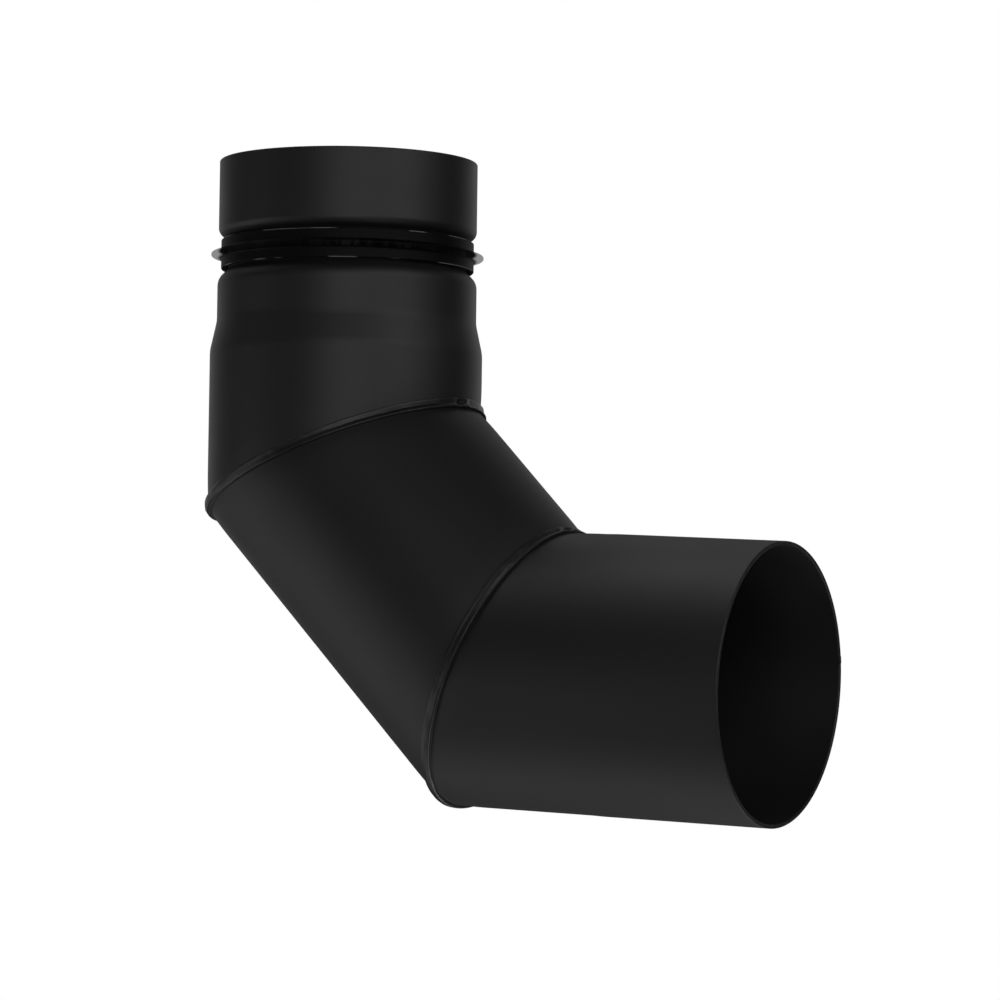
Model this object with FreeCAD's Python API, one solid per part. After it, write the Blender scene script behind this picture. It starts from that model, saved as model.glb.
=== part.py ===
import FreeCAD, Part
import math
import os

from FreeCAD import Placement, Rotation, Vector

# Rigid flue elbow, welded from three mitred gores of black coated steel tube.
# The origin is the centre of the spigot's rim. +Z runs out of the spigot along its axis.
# The bend lies in the XZ plane and the socket opens towards +X.
# Lengths are in millimetres and angles in degrees.

# Overall sizes, measured along the pipe axes to the corner where the two axes cross
SPIGOT_TO_CORNER = 154.2
SOCKET_TO_CORNER = 150.0
MITRE_TO_CORNER = 61.0
DEFLECTION = 87.0

# Rolled and seam-welded tube
BODY_RADIUS = 42.15
WALL = 1.2

# Spigot: the reduced end that plugs into the next pipe
SPIGOT_RADIUS = 40.0
INSERTION_DEPTH = 50.0
RIM_CHAMFER = 0.4
NECK_OVERSIZE = 0.15
SWAGE_LENGTH = 9.2
SWAGE_BEND_RADIUS = 10.0

# Rolled groove that holds the lip seal
GROOVE_FROM_RIM = 24.4
GROOVE_WIDTH = 9.6
GROOVE_DEPTH = 3.0
UPPER_SHOULDER_LENGTH = 2.0
LOWER_SHOULDER_LENGTH = 3.0
UPPER_SHOULDER_RADIUS = 2.6
LOWER_SHOULDER_RADIUS = 4.5
GROOVE_ROOT_RADIUS = 1.2

# Lip seal, stretched onto the groove's floor
SEAL_SIDE_CLEARANCE = 0.3
SEAL_BAND_DROP = 0.85
SEAL_INNER_CHAMFER = 0.8
SEAL_EDGE_RADIUS = 0.35
LIP_STAND_OUT = 2.2
LIP_ROOT_HEIGHT = 2.6
LIP_TIP_HEIGHT = 0.7
LIP_TIP_RADIUS = 0.3

# Socket: the tube's end, calibrated to take the next pipe's spigot
SOCKET_EXPANSION = 0.1
SOCKET_EXTRA_DEPTH = 5.0
SOCKET_RUNOUT_LENGTH = 4.0

# Welds
MITRE_ROOT_GAP = 0.8
MITRE_WELD_WIDTH = 3.0
MITRE_WELD_HEIGHT = 0.8
MITRE_WELD_EDGE_RADIUS = 0.4
SEAM_WELD_WIDTH = 2.2
SEAM_WELD_HEIGHT = 0.25
# Where each gore's seam lies, counted round its own axis. 90 is the far side of the bend.
SPIGOT_GORE_SEAM_ANGLE = 102.0
MIDDLE_GORE_SEAM_ANGLE = 78.0
SOCKET_GORE_SEAM_ANGLE = 102.0

# Derived sizes
NECK_RADIUS = SPIGOT_RADIUS + NECK_OVERSIZE
GROOVE_RADIUS = SPIGOT_RADIUS - GROOVE_DEPTH
LIP_RADIUS = SPIGOT_RADIUS + LIP_STAND_OUT
SOCKET_RADIUS = BODY_RADIUS + SOCKET_EXPANSION
SEAM_WELD_ANGLE = math.degrees(SEAM_WELD_WIDTH / BODY_RADIUS)
HALF_GAP = MITRE_ROOT_GAP / 2
HALF_WELD = MITRE_WELD_WIDTH / 2

# How closely an edge has to lie to its nominal place and length to be the one meant
TOLERANCE = 0.05
# Longer and wider than any cut needs
REACH = 2 * (SPIGOT_TO_CORNER + SOCKET_TO_CORNER + BODY_RADIUS)

# The two pipe axes, the corner and the two mitre planes
ORIGIN = Vector(0, 0, 0)
UP = Vector(0, 0, 1)
OUT = Vector(math.sin(math.radians(DEFLECTION)), 0, -math.cos(math.radians(DEFLECTION)))
CORNER = -SPIGOT_TO_CORNER * UP
UPPER_MITRE = CORNER + MITRE_TO_CORNER * UP
LOWER_MITRE = CORNER + MITRE_TO_CORNER * OUT
SOCKET_MOUTH = CORNER + SOCKET_TO_CORNER * OUT
MIDDLE_AXIS = (UPPER_MITRE - LOWER_MITRE).normalize()
MIDDLE_CENTRE = (UPPER_MITRE + LOWER_MITRE) * 0.5
UPPER_NORMAL = (UP + MIDDLE_AXIS).normalize()
LOWER_NORMAL = (OUT - MIDDLE_AXIS).normalize()


def rounded_line(corners):
    """Straight runs joined by tangent arcs, from (radius, height, bend radius) corners."""
    points = [Vector(radius, 0, height) for radius, height, bend in corners]
    edges = []
    start = points[0]
    for before, corner, after, (_, _, bend) in zip(points, points[1:], points[2:], corners[1:]):
        if bend == 0:
            edges.append(Part.LineSegment(start, corner).toShape())
            start = corner
            continue
        into = (corner - before).normalize()
        away = (after - corner).normalize()
        half_turn = into.getAngle(away) / 2
        tangent = bend * math.tan(half_turn)
        arc_start = corner - into * tangent
        arc_end = corner + away * tangent
        to_centre = (away - into).normalize()
        arc_middle = corner + to_centre * bend * (1 / math.cos(half_turn) - 1)
        edges.append(Part.LineSegment(start, arc_start).toShape())
        edges.append(Part.Arc(arc_start, arc_middle, arc_end).toShape())
        start = arc_end
    edges.append(Part.LineSegment(start, points[-1]).toShape())
    return Part.Wire(edges)


def sheet_section(outside):
    """The cut face of a sheet whose outer surface runs up along a line, thickened towards the axis."""
    return outside.makeOffset2D(WALL, 0, True, True)


def band_section(inner_radius, outer_radius, low, high):
    """The cut face of a plain ring or tube."""
    return Part.Face(Part.makePolygon([
        Vector(inner_radius, 0, low),
        Vector(outer_radius, 0, low),
        Vector(outer_radius, 0, high),
        Vector(inner_radius, 0, high),
        Vector(inner_radius, 0, low),
    ]))


def turned(face, first_angle, angle):
    """A face in the XZ plane, turned about the Z axis through an angle."""
    start = face.copy()
    start.rotate(ORIGIN, UP, first_angle)
    return start.revolve(ORIGIN, UP, angle)


def placed(shape, centre, axis):
    """A shape modelled about the Z axis, carried to a centre and an axis in the bend's plane."""
    result = shape.copy()
    result.Placement = Placement(centre, Rotation(UP, axis)).multiply(result.Placement)
    return result


def slab(centre, normal, near, far):
    """The space between two distances from a mitre plane."""
    box = Part.makeBox(REACH, REACH, far - near, Vector(-REACH / 2, -REACH / 2, near))
    return placed(box, centre, normal)


def spigot_section():
    """The spigot gore's sheet, from below its mitre up to the rim, which is chamfered outside."""
    neck_end = -INSERTION_DEPTH
    body_start = neck_end - SWAGE_LENGTH
    groove_top = -GROOVE_FROM_RIM
    groove_bottom = groove_top - GROOVE_WIDTH
    sheet = sheet_section(rounded_line([
        (BODY_RADIUS, -SPIGOT_TO_CORNER, 0),
        (BODY_RADIUS, body_start, SWAGE_BEND_RADIUS),
        (NECK_RADIUS, neck_end, SWAGE_BEND_RADIUS),
        (NECK_RADIUS, groove_bottom - LOWER_SHOULDER_LENGTH, LOWER_SHOULDER_RADIUS),
        (GROOVE_RADIUS, groove_bottom, GROOVE_ROOT_RADIUS),
        (GROOVE_RADIUS, groove_top, GROOVE_ROOT_RADIUS),
        (SPIGOT_RADIUS, groove_top + UPPER_SHOULDER_LENGTH, UPPER_SHOULDER_RADIUS),
        (SPIGOT_RADIUS, 0, 0),
    ]))
    rim_corner = Part.Face(Part.makePolygon([
        Vector(SPIGOT_RADIUS, 0, 0),
        Vector(SPIGOT_RADIUS - RIM_CHAMFER, 0, 0),
        Vector(SPIGOT_RADIUS, 0, -RIM_CHAMFER),
        Vector(SPIGOT_RADIUS, 0, 0),
    ]))
    return sheet.cut(rim_corner).Faces[0]


def socket_section():
    """The socket gore's sheet, from beyond its mitre out to the mouth."""
    calibrated_end = -(INSERTION_DEPTH + SOCKET_EXTRA_DEPTH)
    return sheet_section(Part.makePolygon([
        Vector(BODY_RADIUS, 0, -SOCKET_TO_CORNER),
        Vector(BODY_RADIUS, 0, calibrated_end - SOCKET_RUNOUT_LENGTH),
        Vector(SOCKET_RADIUS, 0, calibrated_end),
        Vector(SOCKET_RADIUS, 0, 0),
    ]))


def gore_and_seam(section, proud_from, proud_to, seam_angle):
    """A rolled sheet about the Z axis, and the weld that closes its seam, proud over part of its length."""
    seam_start = seam_angle - SEAM_WELD_ANGLE / 2
    gore = turned(section, seam_start + SEAM_WELD_ANGLE, 360 - SEAM_WELD_ANGLE)
    strip = band_section(BODY_RADIUS, BODY_RADIUS + SEAM_WELD_HEIGHT, proud_from, proud_to)
    flush = turned(section, seam_start, SEAM_WELD_ANGLE)
    proud = turned(strip, seam_start, SEAM_WELD_ANGLE)
    return gore, flush.fuse(proud).removeSplitter()


def spigot_pieces():
    """The spigot gore and its seam weld, which is ground flush on the spigot."""
    proud_to = -INSERTION_DEPTH - SWAGE_LENGTH - SWAGE_BEND_RADIUS / 2
    pieces = gore_and_seam(spigot_section(), -SPIGOT_TO_CORNER, proud_to, SPIGOT_GORE_SEAM_ANGLE)
    keep = slab(UPPER_MITRE, UPPER_NORMAL, HALF_GAP, REACH)
    return [piece.common(keep) for piece in pieces]


def middle_pieces():
    """The middle gore and its seam weld, cut by both mitres."""
    half = MITRE_TO_CORNER + BODY_RADIUS
    section = band_section(BODY_RADIUS - WALL, BODY_RADIUS, -half, half)
    pieces = gore_and_seam(section, -half, half, MIDDLE_GORE_SEAM_ANGLE)
    below_upper = slab(UPPER_MITRE, UPPER_NORMAL, -REACH, -HALF_GAP)
    behind_lower = slab(LOWER_MITRE, LOWER_NORMAL, -REACH, -HALF_GAP)
    keep = below_upper.common(behind_lower)
    return [placed(piece, MIDDLE_CENTRE, MIDDLE_AXIS).common(keep) for piece in pieces]


def socket_pieces():
    """The socket gore and its seam weld, which is ground flush on the calibrated end."""
    calibrated_end = -(INSERTION_DEPTH + SOCKET_EXTRA_DEPTH)
    proud_to = calibrated_end - SOCKET_RUNOUT_LENGTH
    pieces = gore_and_seam(socket_section(), -SOCKET_TO_CORNER, proud_to, SOCKET_GORE_SEAM_ANGLE)
    keep = slab(LOWER_MITRE, LOWER_NORMAL, HALF_GAP, REACH)
    return [placed(piece, SOCKET_MOUTH, OUT).common(keep) for piece in pieces]


def skin(inner_radius, outer_radius, centre, axis):
    """A hollow cylinder about a pipe axis, long enough to pass right through a mitre."""
    section = band_section(inner_radius, outer_radius, -outer_radius, outer_radius)
    return placed(turned(section, 0, 360), centre, axis)


def half_mitre_weld(centre, axis, normal, side):
    """One side of a mitre weld: its root between the sheet edges and its cap on the tube."""
    def between(distance):
        return slab(centre, normal, min(0, side * distance), max(0, side * distance))

    cap_radius = BODY_RADIUS + MITRE_WELD_HEIGHT
    root = skin(BODY_RADIUS - WALL, BODY_RADIUS, centre, axis).common(between(HALF_GAP))
    cap = skin(BODY_RADIUS, cap_radius, centre, axis).common(between(HALF_WELD))
    return root.fuse(cap)


def outer_cap_edges(weld, centre, normal):
    """The edges where a mitre weld's two sides meet its cap."""
    sides = [
        edge for edge in weld.Edges
        if abs(abs((edge.CenterOfMass - centre).dot(normal)) - HALF_WELD) < TOLERANCE
    ]
    longest = max(edge.Length for edge in sides)
    return [edge for edge in sides if edge.Length > longest - TOLERANCE]


def mitre_weld(centre, normal, axis_before, axis_after, seams):
    """A weld bead all round a mitre, laid over the ends of the seam welds."""
    before = half_mitre_weld(centre, axis_before, normal, -1)
    after = half_mitre_weld(centre, axis_after, normal, 1)
    weld = before.fuse(after).removeSplitter()
    edges = outer_cap_edges(weld, centre, normal)
    weld = weld.makeFillet(MITRE_WELD_EDGE_RADIUS, edges)
    return weld.cut(seams)


def lip_seal():
    """Silicone ring in the groove, with one tapered lip round its middle."""
    top = -GROOVE_FROM_RIM - SEAL_SIDE_CLEARANCE
    bottom = -GROOVE_FROM_RIM - GROOVE_WIDTH + SEAL_SIDE_CLEARANCE
    band = SPIGOT_RADIUS - SEAL_BAND_DROP
    middle = (top + bottom) / 2
    outline = rounded_line([
        (GROOVE_RADIUS, middle, 0),
        (GROOVE_RADIUS, top - SEAL_INNER_CHAMFER, 0),
        (GROOVE_RADIUS + SEAL_INNER_CHAMFER, top, 0),
        (band, top, SEAL_EDGE_RADIUS),
        (band, middle + LIP_ROOT_HEIGHT / 2, SEAL_EDGE_RADIUS),
        (LIP_RADIUS, middle + LIP_TIP_HEIGHT / 2, LIP_TIP_RADIUS),
        (LIP_RADIUS, middle - LIP_TIP_HEIGHT / 2, LIP_TIP_RADIUS),
        (band, middle - LIP_ROOT_HEIGHT / 2, SEAL_EDGE_RADIUS),
        (band, bottom, SEAL_EDGE_RADIUS),
        (GROOVE_RADIUS + SEAL_INNER_CHAMFER, bottom, 0),
        (GROOVE_RADIUS, bottom + SEAL_INNER_CHAMFER, 0),
        (GROOVE_RADIUS, middle, 0),
    ])
    return turned(Part.Face(outline), 0, 360)


def build():
    """Every piece of the elbow, by name."""
    spigot_gore, spigot_gore_seam = spigot_pieces()
    middle_gore, middle_gore_seam = middle_pieces()
    socket_gore, socket_gore_seam = socket_pieces()
    seams = [spigot_gore_seam, middle_gore_seam, socket_gore_seam]
    return {
        "spigot_gore": spigot_gore,
        "middle_gore": middle_gore,
        "socket_gore": socket_gore,
        "lip_seal": lip_seal(),
        "spigot_gore_seam_weld": spigot_gore_seam,
        "middle_gore_seam_weld": middle_gore_seam,
        "socket_gore_seam_weld": socket_gore_seam,
        "upper_mitre_weld": mitre_weld(UPPER_MITRE, UPPER_NORMAL, MIDDLE_AXIS, UP, seams),
        "lower_mitre_weld": mitre_weld(LOWER_MITRE, LOWER_NORMAL, MIDDLE_AXIS, OUT, seams),
    }


os.makedirs("parts", exist_ok=True)
for name, shape in build().items():
    shape.exportStep(f"parts/{name}.step")
    print(name, len(shape.Solids), "solid, valid:", shape.isValid(), "mm3:", round(shape.Volume, 1))
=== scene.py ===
import math

import bpy
from mathutils import Matrix, Vector


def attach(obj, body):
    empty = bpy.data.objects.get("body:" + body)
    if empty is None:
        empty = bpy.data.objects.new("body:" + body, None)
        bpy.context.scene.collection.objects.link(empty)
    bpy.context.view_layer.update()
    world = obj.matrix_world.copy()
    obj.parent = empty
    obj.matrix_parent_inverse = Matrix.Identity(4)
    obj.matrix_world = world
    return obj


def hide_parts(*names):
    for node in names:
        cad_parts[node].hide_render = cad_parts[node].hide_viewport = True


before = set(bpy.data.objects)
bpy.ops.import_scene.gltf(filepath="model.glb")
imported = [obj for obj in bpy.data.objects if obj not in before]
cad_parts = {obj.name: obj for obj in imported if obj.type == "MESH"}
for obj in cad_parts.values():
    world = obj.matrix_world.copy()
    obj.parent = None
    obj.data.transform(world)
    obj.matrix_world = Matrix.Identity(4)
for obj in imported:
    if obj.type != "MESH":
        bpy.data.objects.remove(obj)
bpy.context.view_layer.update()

MM = 0.001

# The elbow's own sizes, as its drawing has them
SPIGOT_TO_CORNER = 154.2 * MM
SOCKET_TO_CORNER = 150.0 * MM
MITRE_TO_CORNER = 61.0 * MM
DEFLECTION = math.radians(87.0)
BODY_RADIUS = 42.15 * MM
WALL = 1.2 * MM
SPIGOT_RADIUS = 40.0 * MM
NECK_RADIUS = 40.15 * MM
GROOVE_RADIUS = 37.0 * MM
SOCKET_RADIUS = 42.25 * MM
NECK_END = -50.0 * MM
SWAGE_LENGTH = 9.2 * MM
SWAGE_BEND = 10.0 * MM
GROOVE_TOP = -24.4 * MM
GROOVE_BOTTOM = -34.0 * MM
# The flares from the groove's floor up to the band above it and down to the neck below it
UPPER_FLARE = 2.0 * MM
UPPER_FLARE_BEND = 2.6 * MM
LOWER_FLARE = 3.0 * MM
LOWER_FLARE_BEND = 4.5 * MM
GROOVE_BEND = 1.2 * MM
SOCKET_BORE_LENGTH = 55.0 * MM
SOCKET_RUNOUT = 4.0 * MM
# Half of the root gap that a mitre weld fills
HALF_GAP = 0.4 * MM
# How far the rims' edges are rounded off
RIM_ROUND = 0.4 * MM
RIM_INSIDE_ROUND = 0.25 * MM
MOUTH_ROUND = 0.3 * MM

# The two pipe axes, the corner and the two mitre planes
UP = Vector((0, 0, 1))
OUT = Vector((math.sin(DEFLECTION), 0, -math.cos(DEFLECTION)))
CORNER = -SPIGOT_TO_CORNER * UP
UPPER_MITRE = CORNER + MITRE_TO_CORNER * UP
LOWER_MITRE = CORNER + MITRE_TO_CORNER * OUT
SOCKET_MOUTH = CORNER + SOCKET_TO_CORNER * OUT
MIDDLE_AXIS = (UPPER_MITRE - LOWER_MITRE).normalized()
MIDDLE_CENTRE = (UPPER_MITRE + LOWER_MITRE) / 2
UPPER_NORMAL = (UP + MIDDLE_AXIS).normalized()
LOWER_NORMAL = (OUT - MIDDLE_AXIS).normalized()

# How finely round things are made
SHEET_SIDES = 240
BEAD_SIDES = 480
SEAL_SIDES = 240
ARC_STEP = math.radians(9)
SMOOTH_UNDER = math.radians(35)
# Two places nearer than this are the same place
NEAR = 0.02 * MM
# A loop this far beside each bend or rim keeps the straight run next to it shaded straight
KEEP_FLAT = 0.25 * MM


# ---------------------------------------------------------------- modelling

def leave_nothing_selected():
    if bpy.context.object and bpy.context.object.mode != "OBJECT":
        bpy.ops.object.mode_set(mode="OBJECT")
    bpy.ops.object.select_all(action="DESELECT")


def take(piece):
    """Makes a piece the only one selected."""
    leave_nothing_selected()
    piece.select_set(True)
    bpy.context.view_layer.objects.active = piece


def edit(piece, select="VERT"):
    take(piece)
    bpy.ops.object.mode_set(mode="EDIT")
    bpy.ops.mesh.select_mode(type=select)


def pick(piece, kind, wanted):
    """Selects a piece's faces, edges or vertices by place, and is left in edit mode."""
    edit(piece, {"polygons": "FACE", "edges": "EDGE", "vertices": "VERT"}[kind])
    bpy.ops.mesh.select_all(action="DESELECT")
    bpy.ops.object.mode_set(mode="OBJECT")
    points = piece.data.vertices
    for item in getattr(piece.data, kind):
        if kind == "vertices":
            item.select = wanted([item.co])
        else:
            item.select = wanted([points[i].co for i in item.vertices])
    bpy.ops.object.mode_set(mode="EDIT")


def apply_modifiers(piece):
    take(piece)
    for modifier in list(piece.modifiers):
        bpy.ops.object.modifier_apply(modifier=modifier.name)


def bend_line(corners):
    """(radius, height) steps of runs joined by arcs, from (radius, height, bend) corners."""
    points = [Vector(corner[:2]) for corner in corners]
    steps = [points[0]]
    for before, corner, after, (*_, bend) in zip(points, points[1:], points[2:], corners[1:]):
        into = (corner - before).normalized()
        away = (after - corner).normalized()
        turn = into.angle(away)
        if bend == 0 or turn < ARC_STEP / 4:
            steps.append(corner)
            continue
        start = corner - into * bend * math.tan(turn / 2)
        centre = corner + (away - into).normalized() * bend / math.cos(turn / 2)
        spoke = start - centre
        way = 1 if into.x * away.y - into.y * away.x > 0 else -1
        end = centre + Matrix.Rotation(way * turn, 2) @ spoke
        if (start - steps[-1]).length > 2 * KEEP_FLAT:
            steps.append(start - into * KEEP_FLAT)
        count = max(2, round(turn / ARC_STEP))
        for step in range(count + 1):
            angle = way * turn * step / count
            steps.append(centre + Matrix.Rotation(angle, 2) @ spoke)
        if (after - end).length > 4 * KEEP_FLAT:
            steps.append(end + away * KEEP_FLAT)
    steps.append(points[-1])
    return steps


def turned_sheet(name, line, sides):
    """A sheet about the Z axis: a ring drawn out and drawn in through the steps of a line."""
    leave_nothing_selected()
    bpy.ops.mesh.primitive_circle_add(
        vertices=sides, radius=line[0].x, fill_type="NOTHING", location=(0, 0, line[0].y)
    )
    sheet = bpy.context.object
    sheet.name = sheet.data.name = name
    bpy.ops.object.transform_apply(location=True, rotation=True, scale=True)
    edit(sheet)
    bpy.ops.mesh.select_all(action="SELECT")
    for last, step in zip(line, line[1:]):
        bpy.ops.mesh.extrude_region_move(
            TRANSFORM_OT_translate={"value": (0, 0, step.y - last.y)}
        )
        share = step.x / last.x
        bpy.ops.transform.resize(value=(share, share, 1), center_override=(0, 0, step.y))
    return sheet


def outwards(sheet):
    """Points all faces of an open turned sheet away from the Z axis."""
    edit(sheet, "FACE")
    bpy.ops.mesh.select_all(action="SELECT")
    bpy.ops.mesh.normals_make_consistent(inside=False)
    bpy.ops.object.mode_set(mode="OBJECT")
    face = next(face for face in sheet.data.polygons if abs(face.normal.z) < 0.5)
    if face.normal.x * face.center.x + face.normal.y * face.center.y < 0:
        edit(sheet, "FACE")
        bpy.ops.mesh.select_all(action="SELECT")
        bpy.ops.mesh.flip_normals()
        bpy.ops.object.mode_set(mode="OBJECT")


def seam_strip(sheet, name, seam_degrees):
    """Takes the strip of a rolled sheet where its two edges are welded, as its own piece."""
    seam = math.radians(seam_degrees)
    column = 2 * math.pi / SHEET_SIDES

    def in_seam(points):
        middle = sum(points, Vector()) / len(points)
        return abs(math.atan2(middle.y, middle.x) - seam) < column

    pick(sheet, "polygons", in_seam)
    bpy.ops.mesh.separate(type="SELECTED")
    bpy.ops.object.mode_set(mode="OBJECT")
    strip = next(piece for piece in bpy.context.selected_objects if piece != sheet)
    strip.name = strip.data.name = name
    return strip


SEAM_HEIGHT = 0.25 * MM
SEAM_CUTS = 2
# (share of the half width, share of the height) of the crown's rows, from the middle out
SEAM_ROWS = ((0.0, 1.0), (1 / 3, 0.86), (2 / 3, 0.5))
FLUSH_RUNOUT = 2 * MM


def crown_seam(strip, seam_degrees, proud_to):
    """Gives a seam weld its low crown, which runs out where the seam is ground flush."""
    seam = math.radians(seam_degrees)
    across = Vector((-math.sin(seam), math.cos(seam), 0))
    out = Vector((math.cos(seam), math.sin(seam), 0))
    for level in (proud_to, proud_to + FLUSH_RUNOUT):
        edit(strip)
        bpy.ops.mesh.select_all(action="SELECT")
        bpy.ops.mesh.bisect(plane_co=(0, 0, level), plane_no=UP)
    outer_skin = BODY_RADIUS - WALL / 2

    def lies_across(points):
        return (
            abs((points[1] - points[0]).dot(across)) > 0.5 * MM
            and min(point.dot(out) for point in points) > outer_skin
        )

    pick(strip, "edges", lies_across)
    bpy.ops.mesh.subdivide(number_cuts=SEAM_CUTS)
    half_width = max(abs(vertex.co.dot(across)) for vertex in strip.data.vertices)
    for share, lift in SEAM_ROWS:
        def on_row(points):
            return (
                abs(abs(points[0].dot(across)) - share * half_width) < 0.05 * MM
                and points[0].z < proud_to + NEAR
                and points[0].dot(out) > outer_skin
            )

        pick(strip, "vertices", on_row)
        bpy.ops.transform.translate(value=out * SEAM_HEIGHT * lift)
    bpy.ops.object.mode_set(mode="OBJECT")


def give_wall(sheet):
    """Gives a sheet its thickness, inwards from the skin that it was turned to."""
    wall = sheet.modifiers.new("wall", "SOLIDIFY")
    wall.thickness = WALL
    wall.offset = -1
    wall.use_even_offset = True
    apply_modifiers(sheet)


def stand_along(piece, centre, axis):
    """Carries a piece modelled about the Z axis to its own pipe's axis."""
    take(piece)
    piece.rotation_mode = "QUATERNION"
    piece.rotation_quaternion = UP.rotation_difference(axis)
    piece.location = centre
    bpy.ops.object.transform_apply(location=True, rotation=True, scale=True)


def saw(piece, point, normal):
    """Cuts off what lies beyond a plane, and closes the cut."""
    edit(piece)
    bpy.ops.mesh.select_all(action="SELECT")
    bpy.ops.mesh.bisect(plane_co=point, plane_no=normal, use_fill=True, clear_outer=True)
    bpy.ops.object.mode_set(mode="OBJECT")


def break_edges(piece, wanted, size, segments):
    """Rounds off the edges that lie where wanted says."""
    pick(piece, "edges", wanted)
    bpy.ops.mesh.bevel(offset=size, segments=segments, affect="EDGES", profile=0.5)
    bpy.ops.object.mode_set(mode="OBJECT")


def on_ring(centre, axis, radius):
    """Whether an edge lies on a ring about an axis."""
    def lies(points):
        return all(
            abs((point - centre).dot(axis)) < NEAR
            and abs((point - centre).cross(axis).length - radius) < NEAR
            for point in points
        )

    return lies


def shade(piece):
    take(piece)
    bpy.ops.object.shade_smooth_by_angle(angle=SMOOTH_UNDER)


def finish_piece(piece, node, material):
    """Coats a piece and puts it in its CAD node's place."""
    piece.data.materials.clear()
    piece.data.materials.append(material)
    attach(piece, "root")
    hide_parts(node)


# ---------------------------------------------------------------- the three gores

def spigot_line():
    """The spigot gore's outer skin, from past its mitre up to its rim."""
    return bend_line([
        (BODY_RADIUS, -SPIGOT_TO_CORNER, 0),
        (BODY_RADIUS, NECK_END - SWAGE_LENGTH, SWAGE_BEND),
        (NECK_RADIUS, NECK_END, SWAGE_BEND),
        (NECK_RADIUS, GROOVE_BOTTOM - LOWER_FLARE, LOWER_FLARE_BEND),
        (GROOVE_RADIUS, GROOVE_BOTTOM, GROOVE_BEND),
        (GROOVE_RADIUS, GROOVE_TOP, GROOVE_BEND),
        (SPIGOT_RADIUS, GROOVE_TOP + UPPER_FLARE, UPPER_FLARE_BEND),
        (SPIGOT_RADIUS, -RIM_ROUND - KEEP_FLAT, 0),
        (SPIGOT_RADIUS, 0, 0),
    ])


def middle_line():
    """A plain tube, long enough to be cut at both mitres."""
    half = MITRE_TO_CORNER + BODY_RADIUS
    return [Vector((BODY_RADIUS, -half)), Vector((BODY_RADIUS, half))]


def socket_line():
    """The socket gore's outer skin: plain, then calibrated up to its mouth."""
    return [
        Vector((BODY_RADIUS, -SOCKET_TO_CORNER)),
        Vector((BODY_RADIUS, -SOCKET_BORE_LENGTH - SOCKET_RUNOUT)),
        Vector((SOCKET_RADIUS, -SOCKET_BORE_LENGTH)),
        Vector((SOCKET_RADIUS, -RIM_ROUND - KEEP_FLAT)),
        Vector((SOCKET_RADIUS, 0)),
    ]


# How far a cooling weld draws the sheet in, and how wide a band it draws
DRAW = 0.35 * MM
DRAW_WIDTH = 10.0 * MM
DRAW_STEPS = 7


def draw_loops(mitre, normal, axis):
    """(centre, share) of the loops along which a sheet is drawn in towards a mitre."""
    lean = axis.dot(normal)
    for step in range(DRAW_STEPS + 1):
        off = HALF_GAP + (DRAW_WIDTH - HALF_GAP) * step / DRAW_STEPS
        share = 1 - DRAW * (1 - step / DRAW_STEPS) ** 2 / BODY_RADIUS
        yield mitre + axis * (off / lean), share


def draw_in(piece, cuts):
    """Draws a sheet in a little near each mitre, as the cooling weld shrinks."""
    for mitre, normal, axis in cuts:
        for hub, _ in list(draw_loops(mitre, normal, axis))[1:]:
            edit(piece)
            bpy.ops.mesh.select_all(action="SELECT")
            bpy.ops.mesh.bisect(plane_co=hub, plane_no=normal)
    for mitre, normal, axis in cuts:
        for hub, share in draw_loops(mitre, normal, axis):
            pick(
                piece,
                "vertices",
                lambda points: abs((points[0] - hub).dot(normal)) < NEAR / 5,
            )
            bpy.ops.transform.resize(value=(share, share, share), center_override=hub)
    bpy.ops.object.mode_set(mode="OBJECT")


def rolled_gore(name, line, seam_degrees, proud_to, centre, axis, cuts):
    """A rolled sheet and its seam weld, stood along its axis and sawn at its mitres.

    cuts has, for each mitre, a point, the plane's normal into the gore and the way along it.
    """
    sheet = turned_sheet(name + "_sheet", line, SHEET_SIDES)
    outwards(sheet)
    seam = seam_strip(sheet, name + "_seam_bead", seam_degrees)
    give_wall(sheet)
    give_wall(seam)
    crown_seam(seam, seam_degrees, proud_to)
    for piece in (sheet, seam):
        stand_along(piece, centre, axis)
        for mitre, inwards, _ in cuts:
            saw(piece, mitre + inwards * HALF_GAP, -inwards)
        draw_in(piece, cuts)
    return sheet, seam


# The seams lie on the far side, staggered from gore to gore: degrees round each gore's axis
END_SEAMS_AT = 102
MIDDLE_SEAM_AT = 78
# A level past the end of every gore, for a seam that stays proud all along
ALL_ALONG = 1.0

spigot_sheet, spigot_seam = rolled_gore(
    "spigot_gore",
    spigot_line(),
    END_SEAMS_AT,
    NECK_END - SWAGE_LENGTH - SWAGE_BEND / 2,
    Vector(),
    UP,
    [(UPPER_MITRE, UPPER_NORMAL, UP)],
)
middle_sheet, middle_seam = rolled_gore(
    "middle_gore",
    middle_line(),
    MIDDLE_SEAM_AT,
    ALL_ALONG,
    MIDDLE_CENTRE,
    MIDDLE_AXIS,
    [
        (UPPER_MITRE, -UPPER_NORMAL, -MIDDLE_AXIS),
        (LOWER_MITRE, -LOWER_NORMAL, MIDDLE_AXIS),
    ],
)
socket_sheet, socket_seam = rolled_gore(
    "socket_gore",
    socket_line(),
    END_SEAMS_AT,
    -SOCKET_BORE_LENGTH - SOCKET_RUNOUT - NEAR,
    SOCKET_MOUTH,
    OUT,
    [(LOWER_MITRE, LOWER_NORMAL, OUT)],
)
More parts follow.
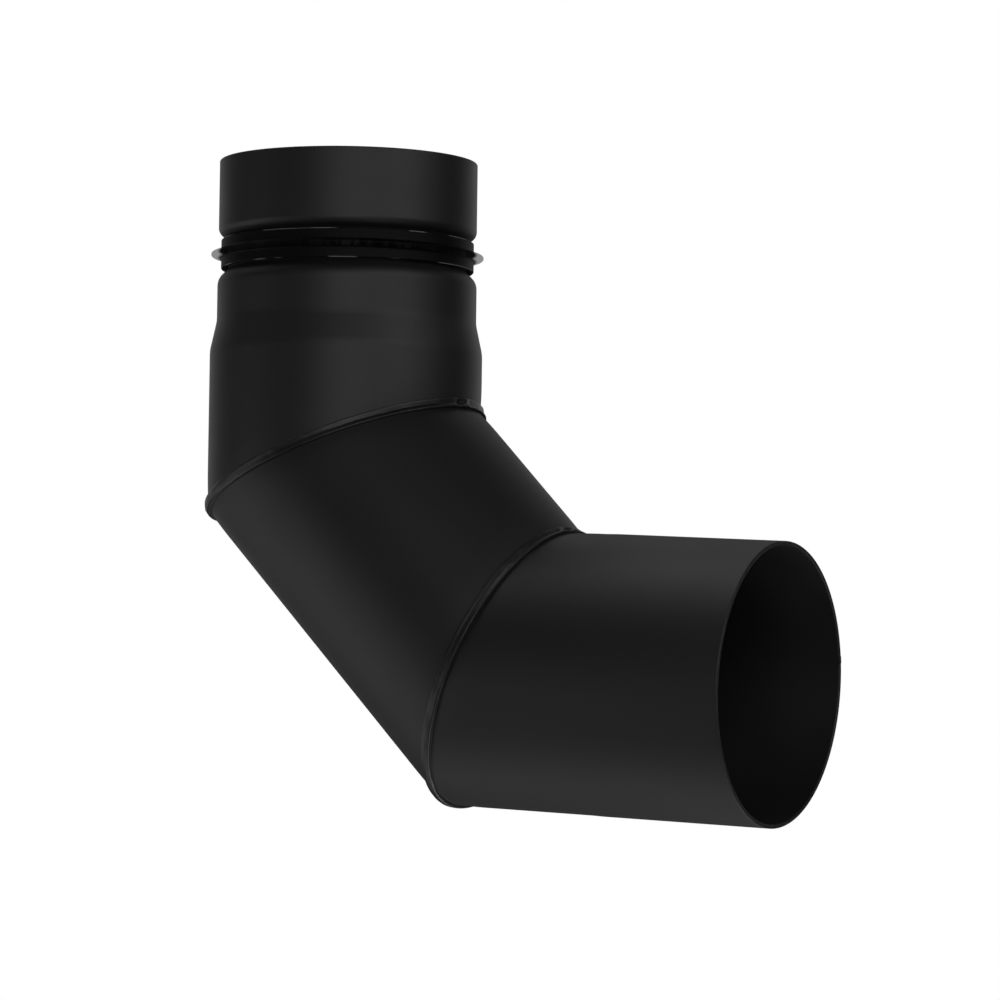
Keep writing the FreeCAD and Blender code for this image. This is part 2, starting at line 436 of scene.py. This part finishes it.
for sheet, end, axis, radius, size, segments in (
    (spigot_sheet, Vector(), UP, SPIGOT_RADIUS, RIM_ROUND, 4),
    (spigot_sheet, Vector(), UP, SPIGOT_RADIUS - WALL, RIM_INSIDE_ROUND, 3),
    (socket_sheet, SOCKET_MOUTH, OUT, SOCKET_RADIUS, MOUTH_ROUND, 4),
    (socket_sheet, SOCKET_MOUTH, OUT, SOCKET_RADIUS - WALL, MOUTH_ROUND, 4),
):
    break_edges(sheet, on_ring(end, axis, radius), size, segments)


# ---------------------------------------------------------------- the two mitre beads

BEAD_HALF_WIDTH = 1.5 * MM
BEAD_HEIGHT = 0.8 * MM
BEAD_ROUND = 0.4 * MM
BEAD_ROUND_STEP = 18
# The crown is a little hollow: (distance from the mitre plane in mm, share of the dip)
BEAD_DIP = 0.1 * MM
BEAD_HOLLOW = ((0.0, 1.0), (0.3, 0.85), (0.6, 0.4), (0.85, 0.1))
# The toe runs down from just over the skin into the sheet that the weld drew in
TOE_HEIGHT = 0.05 * MM
TOE_WIDTH = 0.15 * MM
TOE_DRAW = 0.9 * DRAW


def bead_section():
    """(distance from the mitre plane, height over the skin) steps of a bead, crown first."""
    side = [
        (distance * MM, BEAD_HEIGHT - share * BEAD_DIP) for distance, share in BEAD_HOLLOW
    ]
    for degrees in range(90, -1, -BEAD_ROUND_STEP):
        angle = math.radians(degrees)
        side.append((
            BEAD_HALF_WIDTH - BEAD_ROUND * (1 - math.cos(angle)),
            BEAD_HEIGHT - BEAD_ROUND * (1 - math.sin(angle)),
        ))
    side += [
        (BEAD_HALF_WIDTH, TOE_HEIGHT),
        (BEAD_HALF_WIDTH + TOE_WIDTH, -TOE_DRAW),
        (HALF_GAP, -DRAW),
        (HALF_GAP, -WALL - DRAW),
    ]
    back = [(-distance, height) for distance, height in reversed(side[1:])]
    return side + [(0.0, -WALL - DRAW)] + back


def mitre_bead(name, centre, normal, axis_before, axis_after):
    """A bead all round a mitre: an oval ring drawn through its section's steps and closed."""
    across = Vector((0, 1, 0))
    facing = Matrix((across.cross(normal), across, normal)).transposed()
    lean = abs(axis_after.dot(normal))

    def hub(distance):
        axis = axis_after if distance > 0 else axis_before
        return facing.transposed() @ axis * (distance / lean)

    section = bead_section()
    leave_nothing_selected()
    bpy.ops.mesh.primitive_circle_add(
        vertices=BEAD_SIDES,
        radius=BODY_RADIUS + section[0][1],
        fill_type="NOTHING",
    )
    bead = bpy.context.object
    bead.name = bead.data.name = name
    edit(bead)
    bpy.ops.mesh.select_all(action="SELECT")
    bpy.ops.transform.resize(value=(1 / lean, 1, 1), center_override=(0, 0, 0))
    for (last_distance, last_height), (distance, height) in zip(section, section[1:]):
        bpy.ops.mesh.extrude_region_move(
            TRANSFORM_OT_translate={"value": hub(distance) - hub(last_distance)}
        )
        share = (BODY_RADIUS + height) / (BODY_RADIUS + last_height)
        bpy.ops.transform.resize(value=(share, share, 1), center_override=hub(distance))
    close_ring(bead)
    take(bead)
    bead.matrix_world = Matrix.Translation(centre) @ facing.to_4x4()
    bpy.ops.object.transform_apply(location=True, rotation=True, scale=True)
    return bead


def close_ring(ring):
    """Joins the last loop of a drawn ring to its first."""
    edit(ring)
    bpy.ops.mesh.select_all(action="DESELECT")
    bpy.ops.mesh.select_non_manifold(
        extend=False,
        use_wire=False,
        use_multi_face=False,
        use_non_contiguous=False,
        use_verts=False,
    )
    bpy.ops.mesh.bridge_edge_loops()
    bpy.ops.mesh.select_all(action="SELECT")
    bpy.ops.mesh.normals_make_consistent(inside=False)
    bpy.ops.object.mode_set(mode="OBJECT")


CROWN_FROM = BODY_RADIUS + 0.3 * MM
RISE_LENGTH = 4.5 * MM
RISE_HEIGHT = 0.28 * MM


def axis_distance(point):
    """Distance from the pipe axis whose skin is nearest to a point."""
    distances = []
    for start, axis in ((Vector(), UP), (MIDDLE_CENTRE, MIDDLE_AXIS), (SOCKET_MOUTH, OUT)):
        distances.append((point - start).cross(axis).length)
    return min(distances, key=lambda distance: abs(distance - BODY_RADIUS))


def uneven_crown(bead, normal, centre):
    """The slight rise and fall of a hand-laid bead, on its crown only."""
    crown = bead.vertex_groups.new(name="crown")
    for vertex in bead.data.vertices:
        off = abs((vertex.co - centre).dot(normal))
        if axis_distance(vertex.co) > CROWN_FROM and off < BEAD_HALF_WIDTH + NEAR:
            crown.add([vertex.index], 1.0, "REPLACE")
    cloud = bpy.data.textures.new(bead.name + "_rise", "CLOUDS")
    cloud.noise_scale = RISE_LENGTH
    cloud.noise_depth = 1
    rise = bead.modifiers.new("rise", "DISPLACE")
    rise.texture = cloud
    rise.texture_coords = "LOCAL"
    rise.strength = RISE_HEIGHT
    rise.mid_level = 0.5
    rise.vertex_group = crown.name
    apply_modifiers(bead)
    bead.vertex_groups.clear()


upper_bead = mitre_bead("upper_mitre_bead", UPPER_MITRE, UPPER_NORMAL, MIDDLE_AXIS, UP)
lower_bead = mitre_bead("lower_mitre_bead", LOWER_MITRE, LOWER_NORMAL, -MIDDLE_AXIS, OUT)
uneven_crown(upper_bead, UPPER_NORMAL, UPPER_MITRE)
uneven_crown(lower_bead, LOWER_NORMAL, LOWER_MITRE)

INSIDE_OF_BEND = Vector((1, 0, 1))
STOP_SIZE = 2.4 * MM
# (place across the bend, push outwards) of the end lump, its crater and the start, in mm
STOP_MARKS = ((0.0, 0.45), (-4.0, -0.6), (-7.5, 0.25))


def weld_stop(bead, centre, normal):
    """Where the bead ends on its own start, at the throat: a lump with a crater beside it."""
    way = Vector((0, 1, 0)).cross(normal)
    way = way if way.dot(INSIDE_OF_BEND) > 0 else -way
    for place, push in STOP_MARKS:
        target = centre + way * 1.1 * BODY_RADIUS + Vector((0, place * MM, 0))
        nearest = min(bead.data.vertices, key=lambda vertex: (vertex.co - target).length)
        spot = nearest.co.copy()
        pick(bead, "vertices", lambda points: (points[0] - spot).length < NEAR / 5)
        bpy.ops.transform.translate(
            value=way * (push * MM),
            use_proportional_edit=True,
            proportional_edit_falloff="SMOOTH",
            proportional_size=STOP_SIZE,
        )
    bpy.ops.object.mode_set(mode="OBJECT")


weld_stop(upper_bead, UPPER_MITRE, UPPER_NORMAL)
weld_stop(lower_bead, LOWER_MITRE, LOWER_NORMAL)


# ---------------------------------------------------------------- the lip seal

SEAL_TOP = GROOVE_TOP - 0.3 * MM
SEAL_BOTTOM = GROOVE_BOTTOM + 0.3 * MM
SEAL_MIDDLE = (SEAL_TOP + SEAL_BOTTOM) / 2
SEAL_BAND = SPIGOT_RADIUS - 0.85 * MM
SEAL_ROUND = 0.35 * MM
SEAL_FOOT = 0.8 * MM
LIP_RADIUS = SPIGOT_RADIUS + 2.2 * MM
LIP_ROOT = 1.3 * MM
LIP_TIP = 0.35 * MM
LIP_ROUND = 0.3 * MM


def seal_line():
    """The seal's section, once round from the middle of its inner face."""
    return bend_line([
        (GROOVE_RADIUS, SEAL_MIDDLE, 0),
        (GROOVE_RADIUS, SEAL_TOP - SEAL_FOOT, 0),
        (GROOVE_RADIUS + SEAL_FOOT, SEAL_TOP, 0),
        (SEAL_BAND, SEAL_TOP, SEAL_ROUND),
        (SEAL_BAND, SEAL_MIDDLE + LIP_ROOT, SEAL_ROUND),
        (LIP_RADIUS, SEAL_MIDDLE + LIP_TIP, LIP_ROUND),
        (LIP_RADIUS, SEAL_MIDDLE - LIP_TIP, LIP_ROUND),
        (SEAL_BAND, SEAL_MIDDLE - LIP_ROOT, SEAL_ROUND),
        (SEAL_BAND, SEAL_BOTTOM, SEAL_ROUND),
        (GROOVE_RADIUS + SEAL_FOOT, SEAL_BOTTOM, 0),
        (GROOVE_RADIUS, SEAL_BOTTOM + SEAL_FOOT, 0),
    ])


seal_ring = turned_sheet("lip_seal_ring", seal_line(), SEAL_SIDES)
close_ring(seal_ring)


# ---------------------------------------------------------------- finishes

def group(name, inputs, outputs):
    """An empty shader node group with named inputs and outputs."""
    tree = bpy.data.node_groups.new(name, "ShaderNodeTree")
    for socket, kind, value in inputs:
        made = tree.interface.new_socket(name=socket, in_out="INPUT", socket_type=kind)
        made.default_value = value
    for socket, kind in outputs:
        tree.interface.new_socket(name=socket, in_out="OUTPUT", socket_type=kind)
    return tree, tree.nodes.new("NodeGroupInput"), tree.nodes.new("NodeGroupOutput")


def add(tree, kind, **settings):
    """A new node with its settings."""
    node = tree.nodes.new(kind)
    for name, value in settings.items():
        setattr(node, name, value)
    return node


def calculate(tree, operation, first, second, clamp=False):
    """A Math node's result, from two numbers or outputs."""
    node = add(tree, "ShaderNodeMath", operation=operation, use_clamp=clamp)
    for socket, value in zip(node.inputs, (first, second)):
        if isinstance(value, (int, float)):
            socket.default_value = value
        else:
            tree.links.new(value, socket)
    return node.outputs[0]


def noise(tree, place, scale, detail, roughness=0.5):
    """A noise texture's value at a place, from 0 to 1."""
    node = add(tree, "ShaderNodeTexNoise")
    tree.links.new(place, node.inputs["Vector"])
    for name, value in (("Scale", scale), ("Detail", detail), ("Roughness", roughness)):
        if isinstance(value, (int, float)):
            node.inputs[name].default_value = value
        else:
            tree.links.new(value, node.inputs[name])
    return node.outputs["Fac"]


FLOAT, COLOUR = "NodeSocketFloat", "NodeSocketColor"
DRIFTS_PER_METRE = 60.0
DRIFT_SHARE = 0.5


def coating_grain():
    """The fine dry texture of a baked satin coating."""
    tree, given, result = group(
        "coating grain",
        [
            ("Tone", FLOAT, 0.0045),
            ("Tone Spread", FLOAT, 0.3),
            ("Roughness", FLOAT, 0.56),
            ("Roughness Spread", FLOAT, 0.06),
            ("Grains per Metre", FLOAT, 2200.0),
        ],
        [("Colour", COLOUR), ("Roughness", FLOAT), ("Height", FLOAT)],
    )
    place = add(tree, "ShaderNodeTexCoord").outputs["Object"]
    fine = noise(tree, place, given.outputs["Grains per Metre"], 3.0, 0.6)
    broad = noise(tree, place, DRIFTS_PER_METRE, 2.0)
    centred = calculate(tree, "SUBTRACT", fine, 0.5)
    drift = calculate(tree, "SUBTRACT", broad, 0.5)
    both = calculate(tree, "ADD", centred, calculate(tree, "MULTIPLY", drift, DRIFT_SHARE))
    change = calculate(tree, "MULTIPLY", both, given.outputs["Tone Spread"])
    tone = calculate(
        tree, "MULTIPLY", given.outputs["Tone"], calculate(tree, "ADD", change, 1.0)
    )
    colour = add(tree, "ShaderNodeCombineColor")
    for socket in colour.inputs:
        tree.links.new(tone, socket)
    rough = calculate(
        tree,
        "ADD",
        given.outputs["Roughness"],
        calculate(tree, "MULTIPLY", drift, given.outputs["Roughness Spread"]),
        clamp=True,
    )
    tree.links.new(colour.outputs[0], result.inputs["Colour"])
    tree.links.new(rough, result.inputs["Roughness"])
    tree.links.new(fine, result.inputs["Height"])
    return tree


GRAIN = coating_grain()


def finish_of(name, values, bump):
    """A material with the grain group's tone, roughness and relief, at its own values."""
    material = bpy.data.materials.new(name)
    material.use_nodes = True
    tree = material.node_tree
    surface = tree.nodes["Principled BSDF"]
    grain = add(tree, "ShaderNodeGroup", node_tree=GRAIN)
    for socket, value in values.items():
        grain.inputs[socket].default_value = value
    relief = add(tree, "ShaderNodeBump")
    relief.inputs["Distance"].default_value = bump
    tree.links.new(grain.outputs["Height"], relief.inputs["Height"])
    tree.links.new(grain.outputs["Colour"], surface.inputs["Base Color"])
    tree.links.new(grain.outputs["Roughness"], surface.inputs["Roughness"])
    tree.links.new(relief.outputs["Normal"], surface.inputs["Normal"])
    return material


satin_black = finish_of(
    "satin black coating",
    {"Tone": 0.0045, "Tone Spread": 0.3, "Roughness": 0.56, "Grains per Metre": 2200.0},
    0.01 * MM,
)
coated_bead = finish_of(
    "coated weld metal",
    {"Tone": 0.0045, "Tone Spread": 0.4, "Roughness": 0.46, "Grains per Metre": 900.0},
    0.03 * MM,
)
black_silicone = finish_of(
    "black silicone",
    {"Tone": 0.0015, "Tone Spread": 0.2, "Roughness": 0.62, "Grains per Metre": 1200.0},
    0.01 * MM,
)


# How sharply a painted highlight line breaks off between its pieces
PAINTED_HIGHLIGHT_BREAK = 14.0


def painted_highlight_line():
    """A pale broken line painted along an edge at one height: a painted highlight."""
    tree, given, result = group(
        "painted edge highlight",
        [
            ("Level", FLOAT, 0.0),
            ("Half Width", FLOAT, 0.16 * MM),
            ("Pieces per Metre", FLOAT, 90.0),
        ],
        [("Mask", FLOAT)],
    )
    place = add(tree, "ShaderNodeTexCoord").outputs["Object"]
    parts = add(tree, "ShaderNodeSeparateXYZ")
    tree.links.new(place, parts.inputs[0])
    off = calculate(tree, "SUBTRACT", parts.outputs["Z"], given.outputs["Level"])
    distance = calculate(tree, "ABSOLUTE", off, 0)
    reach = calculate(tree, "DIVIDE", distance, given.outputs["Half Width"])
    line = calculate(tree, "SUBTRACT", 1.0, reach, clamp=True)
    broken = noise(tree, place, given.outputs["Pieces per Metre"], 1.0)
    centred = calculate(tree, "SUBTRACT", broken, 0.5)
    present = calculate(tree, "MULTIPLY", centred, PAINTED_HIGHLIGHT_BREAK, clamp=True)
    tree.links.new(calculate(tree, "MULTIPLY", line, present), result.inputs["Mask"])
    return tree


PAINTED_HIGHLIGHT_LINE = painted_highlight_line()


def lip_thinning():
    """The alpha of a lip that gets thinner, and so clearer, from one radius out to another."""
    tree, given, result = group(
        "lip thinning",
        [
            ("Root Radius", FLOAT, SEAL_BAND + 0.3 * MM),
            ("Tip Radius", FLOAT, SEAL_BAND + 1.3 * MM),
            ("Clear at Tip", FLOAT, 0.5),
        ],
        [("Alpha", FLOAT)],
    )
    place = add(tree, "ShaderNodeTexCoord").outputs["Object"]
    flat = add(tree, "ShaderNodeVectorMath", operation="MULTIPLY")
    tree.links.new(place, flat.inputs[0])
    flat.inputs[1].default_value = (1, 1, 0)
    length = add(tree, "ShaderNodeVectorMath", operation="LENGTH")
    tree.links.new(flat.outputs[0], length.inputs[0])
    way = add(tree, "ShaderNodeMapRange")
    tree.links.new(length.outputs["Value"], way.inputs["Value"])
    tree.links.new(given.outputs["Root Radius"], way.inputs["From Min"])
    tree.links.new(given.outputs["Tip Radius"], way.inputs["From Max"])
    clear = calculate(tree, "MULTIPLY", way.outputs["Result"], given.outputs["Clear at Tip"])
    tree.links.new(calculate(tree, "SUBTRACT", 1.0, clear, clamp=True), result.inputs["Alpha"])
    return tree


# The painted highlights: how far inside the seal's top and bottom edges, how strongly and in
# what pale grey they are painted
PAINTED_HIGHLIGHT_INSET = 0.14 * MM
PAINTED_HIGHLIGHT_SHARE = 0.8
PAINTED_HIGHLIGHT_TONE = (0.3, 0.3, 0.3, 1)
SILICONE_SPECULAR = 0.12


def painted_edge_highlights_and_clear_lip(material, levels):
    """Gives silicone a pale broken line at each level, a painted highlight on its edges, and a
    lip that is clearer where thin.
    """
    tree = material.node_tree
    surface = tree.nodes["Principled BSDF"]
    body = surface.inputs["Base Color"].links[0].from_socket
    highlight_masks = []
    for level in levels:
        line = add(tree, "ShaderNodeGroup", node_tree=PAINTED_HIGHLIGHT_LINE)
        line.inputs["Level"].default_value = level
        highlight_masks.append(line.outputs["Mask"])
    both = calculate(tree, "ADD", *highlight_masks)
    highlight_lines = calculate(tree, "MULTIPLY", both, PAINTED_HIGHLIGHT_SHARE, clamp=True)
    # The painted highlight lines put pale grey in place of the silicone's own colour
    mixed = add(tree, "ShaderNodeMix", data_type="RGBA")
    tree.links.new(highlight_lines, mixed.inputs["Factor"])
    # A colour Mix node has its two colours at 6 and 7, and its result at 2
    tree.links.new(body, mixed.inputs[6])
    mixed.inputs[7].default_value = PAINTED_HIGHLIGHT_TONE
    tree.links.new(mixed.outputs[2], surface.inputs["Base Color"])
    lip = add(tree, "ShaderNodeGroup", node_tree=lip_thinning())
    tree.links.new(lip.outputs["Alpha"], surface.inputs["Alpha"])
    surface.inputs["Specular IOR Level"].default_value = SILICONE_SPECULAR


# Paints pale highlight lines along the seal's top and bottom edges
painted_edge_highlights_and_clear_lip(black_silicone, (SEAL_TOP - PAINTED_HIGHLIGHT_INSET, SEAL_BOTTOM + PAINTED_HIGHLIGHT_INSET))

for piece, node, slot, material in (
    (spigot_sheet, "spigot_gore", "coated_steel", satin_black),
    (middle_sheet, "middle_gore", "coated_steel", satin_black),
    (socket_sheet, "socket_gore", "coated_steel", satin_black),
    (spigot_seam, "spigot_gore_seam_weld", "coated_weld", satin_black),
    (middle_seam, "middle_gore_seam_weld", "coated_weld", satin_black),
    (socket_seam, "socket_gore_seam_weld", "coated_weld", satin_black),
    (upper_bead, "upper_mitre_weld", "coated_weld", coated_bead),
    (lower_bead, "lower_mitre_weld", "coated_weld", coated_bead),
    (seal_ring, "lip_seal", "seal_rubber", black_silicone),
):
    shade(piece)
    finish_piece(piece, node, material)


# ---------------------------------------------------------------- camera, floor and lights

# The camera stands in front, on the socket's side. The last column is its place
CAMERA_STAND = Matrix((
    (0.876200, 0.020045, 0.481530, 0.749484),
    (0.481769, -0.063553, -0.873990, -1.260328),
    (0.013084, 0.997777, -0.065342, -0.200066),
    (0, 0, 0, 1),
))
CAMERA_LENS = 171.022
CAMERA_SENSOR = 36
CAMERA_SEES = (0.05, 50)

scene = bpy.context.scene
camera = bpy.data.objects.new("camera", bpy.data.cameras.new("camera"))
scene.collection.objects.link(camera)
camera.matrix_world = CAMERA_STAND
camera.data.sensor_width = CAMERA_SENSOR
camera.data.lens = CAMERA_LENS
camera.data.clip_start, camera.data.clip_end = CAMERA_SEES
scene.camera = camera
scene.view_settings.view_transform = "Standard"

FLOOR_RADIUS = 1.5
FLOOR_PLACE = (0.055, 0, -0.34)
FLOOR_TONE = (0.9, 0.9, 0.9, 1)
FLOOR_ROUGHNESS = 0.9
FLOOR_GLOW = 0.6
WHITE = (1, 1, 1, 1)
ROOM_GLOW = 0.01

leave_nothing_selected()
bpy.ops.mesh.primitive_circle_add(
    vertices=128, radius=FLOOR_RADIUS, fill_type="NGON", location=FLOOR_PLACE
)
floor = bpy.context.object
floor.name = "floor"
floor_paint = bpy.data.materials.new("pale floor")
floor_paint.use_nodes = True
tree = floor_paint.node_tree
paint = tree.nodes["Principled BSDF"]
paint.inputs["Base Color"].default_value = FLOOR_TONE
paint.inputs["Roughness"].default_value = FLOOR_ROUGHNESS
paint.inputs["Emission Color"].default_value = WHITE
paint.inputs["Emission Strength"].default_value = FLOOR_GLOW
# Seen from underneath, the floor is clear, so that it never hides the elbow
facing = add(tree, "ShaderNodeNewGeometry")
shown = calculate(tree, "SUBTRACT", 1.0, facing.outputs["Backfacing"])
tree.links.new(shown, paint.inputs["Alpha"])
floor.data.materials.append(floor_paint)
# The floor takes no part in the light on the elbow: that is the panels' and the dim room's
for ray in ("diffuse", "glossy", "transmission", "shadow"):
    setattr(floor, "visible_" + ray, False)

# The camera sees a white room, and the elbow a nearly dark one
world = bpy.data.worlds.new("studio")
scene.world = world
world.use_nodes = True
tree = world.node_tree
tree.nodes.clear()
seen = add(tree, "ShaderNodeBackground")
seen.inputs["Color"].default_value = WHITE
room = add(tree, "ShaderNodeBackground")
room.inputs["Color"].default_value = WHITE
room.inputs["Strength"].default_value = ROOM_GLOW
chooser = add(tree, "ShaderNodeMixShader")
rays = add(tree, "ShaderNodeLightPath")
out = add(tree, "ShaderNodeOutputWorld")
tree.links.new(rays.outputs["Is Camera Ray"], chooser.inputs["Fac"])
tree.links.new(room.outputs[0], chooser.inputs[1])
tree.links.new(seen.outputs[0], chooser.inputs[2])
tree.links.new(chooser.outputs[0], out.inputs["Surface"])

PANEL_SIZE = 0.9
PANEL_DISTANCE = 1.6
AIM = Vector((0.05, 0, -0.11))


def panel(azimuth, elevation, radiance):
    """A soft light panel that faces the elbow, at an azimuth (0 is in front) and elevation."""
    name = f"panel {azimuth} {elevation}"
    a, e = math.radians(azimuth), math.radians(elevation)
    back = Vector((math.sin(a) * math.cos(e), -math.cos(a) * math.cos(e), math.sin(e)))
    data = bpy.data.lights.new(name, "AREA")
    data.shape = "RECTANGLE"
    data.size = data.size_y = PANEL_SIZE
    data.energy = radiance * math.pi * PANEL_SIZE * PANEL_SIZE
    lamp = bpy.data.objects.new(name, data)
    scene.collection.objects.link(lamp)
    lamp.location = AIM + back * PANEL_DISTANCE
    lamp.rotation_mode = "QUATERNION"
    lamp.rotation_quaternion = back.to_track_quat("Z", "Y")
    lamp.visible_camera = False


# (azimuth, elevation, radiance) of each panel
for setting in (
    (30, 5, 2.75),
    (80, 20, 2.75),
    (-50, -15, 1.15),
    (-80, -25, 0.9),
    (-90, 60, 2.4),
    (-90, -60, 0.92),
    (90, -60, 2.45),
    (180, -60, 1.85),
    (180, 5, 0.86),
    (180, 40, 0.42),
    (-135, 40, 0.5),
    (-120, 5, 0.68),
):
    panel(*setting)
